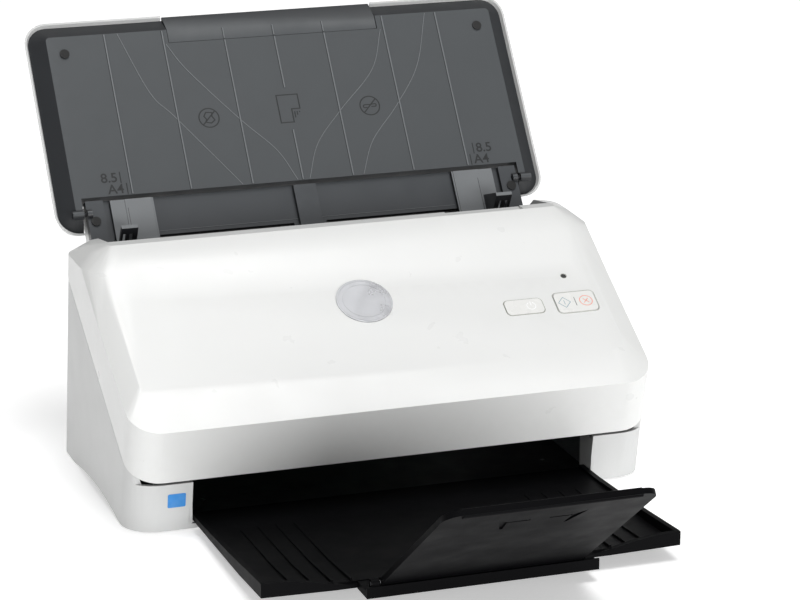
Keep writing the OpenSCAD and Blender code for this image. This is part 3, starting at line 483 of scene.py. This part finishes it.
def clean(points):
    """The same path without repeated points."""
    out = [points[0]]
    for p in points[1:]:
        if math.dist(p, out[-1]) > 1e-4:
            out.append(p)
    return out


def plate(name, path, low, high, where, body, material):
    """A thin plate with a small chamfer round its top."""
    bm = bmesh.new()
    rings = []
    centre = Vector((sum(p[0] for p in path[:-1]), sum(p[1] for p in path[:-1]))) / (len(path) - 1)
    for z, inset in ((low, 0), (high - 0.3 * (high - low), 0), (high, 0.3 * (high - low))):
        ring = []
        for p in path[:-1]:
            q = Vector(p)
            q -= (q - centre).normalized() * inset
            ring.append(bm.verts.new((*q, z)))
        rings.append(ring)
    n = len(rings[0])
    for a, b in zip(rings, rings[1:]):
        for i in range(n):
            bm.faces.new((a[i], a[(i + 1) % n], b[(i + 1) % n], b[i]))
    bm.faces.new(rings[0][::-1])
    bm.faces.new(rings[-1])
    return mesh_piece(name, bm, where, body, material)


# Half width, half height, corner radius and centre
KEY_OUTLINES = ((11.6, 5.8, 3, (90, -71.5)), (12.6, 8, 3, (121.1, -71.5)))
LABEL_OUTLINE = (5, 4.2, 0.8, (-124.2, 19.4))
LAMP, LAMP_RING_R = (120.5, -51.1), 1.75
BADGE, BADGE_RING_R = (0, -55.5), (14.9, 12.2)
# The key outlines and the lamp ring are painted shade of the gaps, drawn as flat grey lines.
lines("key_outlines", [clean(slab_path(*outline)) for outline in KEY_OUTLINES],
      0.5, 0.03, FACE, "cover", GAP_SHADE)
lines("lamp_ring", [arc(LAMP, LAMP_RING_R, steps=28)], 0.4, 0.04, FACE, "cover", GAP_SHADE)
lines("badge_rings", [arc(BADGE, r, steps=64) for r in BADGE_RING_R], 0.5, 0.62, FACE, "cover",
      MATERIALS["badge"], low=0.2)
plate("side_label", clean(slab_path(*LABEL_OUTLINE)), -0.05, 0.16, FRONT, "body", LABEL_BLUE)

# ---------------------------------------------------------------- chute

LEDGE_HALF, LEDGE_UP = 90, -22.8
GUIDE_LINE_X = 106.6
LEDGE_TOP, LEDGE_FOOT = -2.86, -3.05
ledge = [(-LEDGE_HALF, LEDGE_UP), (LEDGE_HALF, LEDGE_UP)]
# The ledge line takes the rib colour, a painted highlight.
lines("chute_ledge", [ledge], 0.5, LEDGE_TOP, TRAY, "body", RIB_HIGHLIGHT, low=LEDGE_FOOT)
# Each guide gets a thin dark line, painted shadow of its seam.
for side, body in ((-1, "guide_left"), (1, "guide_right")):
    guide_line = [(side * GUIDE_LINE_X, -36), (side * GUIDE_LINE_X, -8)]
    lines("guide_line_" + ("left" if side < 0 else "right"), [guide_line], 0.45, 0.06, TRAY, body,
          SEAM_SHADE, low=-0.35)

# ---------------------------------------------------------------- camera, light and floor

TARGET = Vector((33.1, 84, 90.5)) * MM
CAMERA_AT = Vector((-529.8, -1541.4, 600.0)) * MM
camera = bpy.data.objects.new("camera", bpy.data.cameras.new("camera"))
camera.data.sensor_width = 36
camera.data.lens = 141.75
camera.location = CAMERA_AT
camera.rotation_mode = "QUATERNION"
camera.rotation_quaternion = (TARGET - CAMERA_AT).to_track_quat("-Z", "Y")
bpy.context.scene.collection.objects.link(camera)
bpy.context.scene.camera = camera


def softbox(name, place, size, power):
    """A white area light aimed at the object. Place and size are in metres, power in watts."""
    light = bpy.data.lights.new(name, "AREA")
    light.shape = "RECTANGLE"
    light.size, light.size_y = size
    light.energy = power
    o = bpy.data.objects.new(name, light)
    o.location = place
    o.rotation_euler = (TARGET - Vector(place)).to_track_quat("-Z", "Y").to_euler()
    bpy.context.scene.collection.objects.link(o)


softbox("key_light", (0.5, -0.5, 6.4), (3.4, 3.0), 211)
softbox("front_fill", (0.5, -2.9, 0.25), (1.6, 1.0), 60)
softbox("left_strip", (-1.5, -1.4, 1.0), (0.25, 1.2), 1)

WORLD_LIGHT = 0.28
world = bpy.data.worlds.new("studio")
world.use_nodes = True
world.node_tree.nodes["Background"].inputs["Color"].default_value = (1, 1, 1, 1)
world.node_tree.nodes["Background"].inputs["Strength"].default_value = WORLD_LIGHT
bpy.context.scene.world = world
bpy.context.scene.view_settings.view_transform = "Standard"

FLOOR_PALE = surface("floor_pale", (0.96, 0.96, 0.96), rough=0.8, rough_var=0.03, grain=4,
                     grain_depth=0.01, mottle=0.004, wear=0, specular=0.1)
FLOOR_R = 14                         # m
FLOOR_GLOW = 0.42
bm = bmesh.new()
bmesh.ops.create_circle(bm, cap_ends=True, segments=64, radius=FLOOR_R)
floor_mesh = bpy.data.meshes.new("floor")
bm.to_mesh(floor_mesh)
bm.free()
floor = bpy.data.objects.new("floor", floor_mesh)
floor.data.materials.append(FLOOR_PALE)
floor_shader = floor.data.materials[0].node_tree.nodes["Principled BSDF"]
floor_shader.inputs["Emission Color"].default_value = (1, 1, 1, 1)
floor_shader.inputs["Emission Strength"].default_value = FLOOR_GLOW
bpy.context.scene.collection.objects.link(floor)

bpy.context.view_layer.update()
